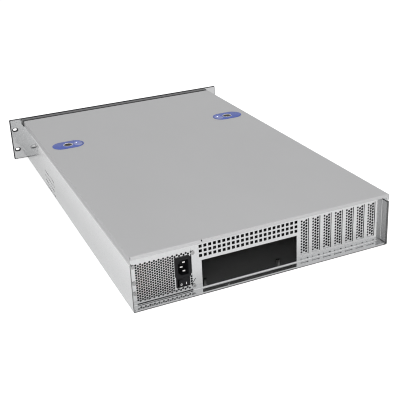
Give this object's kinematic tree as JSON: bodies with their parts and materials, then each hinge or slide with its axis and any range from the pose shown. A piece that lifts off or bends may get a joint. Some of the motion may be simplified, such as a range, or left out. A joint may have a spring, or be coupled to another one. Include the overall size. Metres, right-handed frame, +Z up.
{
  "type": "rackmount server case",
  "caption": "Empty low rackmount server case with recessed perforated rear panel, power supply, slot covers and a lift-off lid with blue latches.",
  "frame": {"origin": "on the floor under the middle of the folded case body", "axes": "+X to the right seen from the front, +Y towards the rear, +Z up"},
  "size_m": [0.4844, 0.7066, 0.0887],
  "materials": {
    "galvanised_steel": "semi-gloss zinc",
    "cover_steel": "satin zinc",
    "lid_steel": "fine matte grey",
    "dark_steel": "matte dark grey",
    "dark_panel": "matte black",
    "blue_plastic": "moulded",
    "dark_plastic": "fine texture",
    "fan_plastic": "moulded",
    "button_plastic": "moulded",
    "bright_metal": "nickel plated",
    "spring_steel": "plain",
    "brass": "turned",
    "board": "printed circuit board"
  },
  "bodies": {
    "case": {"chassis_pan": "galvanised_steel", "rear_panel": "galvanised_steel", "psu_base": "galvanised_steel", "psu_cover": "galvanised_steel", "drive_cage": "galvanised_steel", "fan_bracket": "galvanised_steel", "ear_left": "galvanised_steel", "ear_right": "galvanised_steel", "front_frame": "dark_steel", "front_panel": "dark_panel", "slot_cover_1": "cover_steel", "slot_cover_2": "cover_steel", "slot_cover_3": "cover_steel", "slot_cover_4": "cover_steel", "slot_cover_5": "cover_steel", "slot_cover_6": "cover_steel", "slot_cover_7": "cover_steel", "slot_screws": "bright_metal", "psu_screws": "bright_metal", "inlet_pins": "bright_metal", "standoffs": "brass", "psu_board": "board", "switch_board": "board", "inlet_body": "dark_plastic", "switch_frame": "dark_plastic", "psu_fan_frame": "fan_plastic", "fan_frame_1": "fan_plastic", "fan_frame_2": "fan_plastic", "fan_frame_3": "fan_plastic"},
    "lid": {"lid": "lid_steel", "latch_housing_left": "blue_plastic", "latch_housing_right": "blue_plastic", "latch_ring_left": "bright_metal", "latch_ring_right": "bright_metal", "latch_spring_left": "spring_steel", "latch_spring_right": "spring_steel"},
    "latch_button_left": {"latch_button_left": "dark_plastic"},
    "latch_button_right": {"latch_button_right": "dark_plastic"},
    "switch_rocker": {"switch_rocker": "dark_plastic"},
    "psu_fan_rotor": {"psu_fan_rotor": "fan_plastic"},
    "power_button": {"power_button": "button_plastic"},
    "reset_button": {"reset_button": "button_plastic"},
    "fan_rotor_1": {"fan_rotor_1": "fan_plastic"},
    "fan_rotor_2": {"fan_rotor_2": "fan_plastic"},
    "fan_rotor_3": {"fan_rotor_3": "fan_plastic"}
  },
  "joints": [
    {"name": "lid_lift", "type": "slide", "parent": "case", "child": "lid", "axis": [0, 0, 1], "range_m": [0, 0.15]},
    {"name": "latch_press_left", "type": "slide", "parent": "lid", "child": "latch_button_left", "axis": [0, 0, -1], "range_m": [0, 0.003], "stiffness_N_per_m": 400, "springref_m": -0.002, "deforming": ["latch_spring_left"]},
    {"name": "latch_press_right", "type": "slide", "parent": "lid", "child": "latch_button_right", "axis": [0, 0, -1], "range_m": [0, 0.003], "stiffness_N_per_m": 400, "springref_m": -0.002, "deforming": ["latch_spring_right"]},
    {"name": "rocker_tip", "type": "hinge", "parent": "case", "child": "switch_rocker", "pos_m": [0.1324, 0.3338, 0.0199], "axis": [0, 0, -1], "range_deg": [0, 16]},
    {"name": "psu_fan_spin", "type": "hinge", "parent": "case", "child": "psu_fan_rotor", "pos_m": [0.1611, 0.0963, 0.0379], "axis": [0, 1, 0], "continuous": true},
    {"name": "fan_spin_1", "type": "hinge", "parent": "case", "child": "fan_rotor_1", "pos_m": [-0.154, -0.006, 0.0428], "axis": [0, 1, 0], "continuous": true},
    {"name": "fan_spin_2", "type": "hinge", "parent": "case", "child": "fan_rotor_2", "pos_m": [-0.062, -0.006, 0.0428], "axis": [0, 1, 0], "continuous": true},
    {"name": "fan_spin_3", "type": "hinge", "parent": "case", "child": "fan_rotor_3", "pos_m": [0.03, -0.006, 0.0428], "axis": [0, 1, 0], "continuous": true},
    {"name": "power_press", "type": "slide", "parent": "case", "child": "power_button", "axis": [0, 1, 0], "range_m": [0, 0.001], "stiffness_N_per_m": 500, "springref_m": -0.0008},
    {"name": "reset_press", "type": "slide", "parent": "case", "child": "reset_button", "axis": [0, 1, 0], "range_m": [0, 0.001], "stiffness_N_per_m": 500, "springref_m": -0.0008}
  ]
}
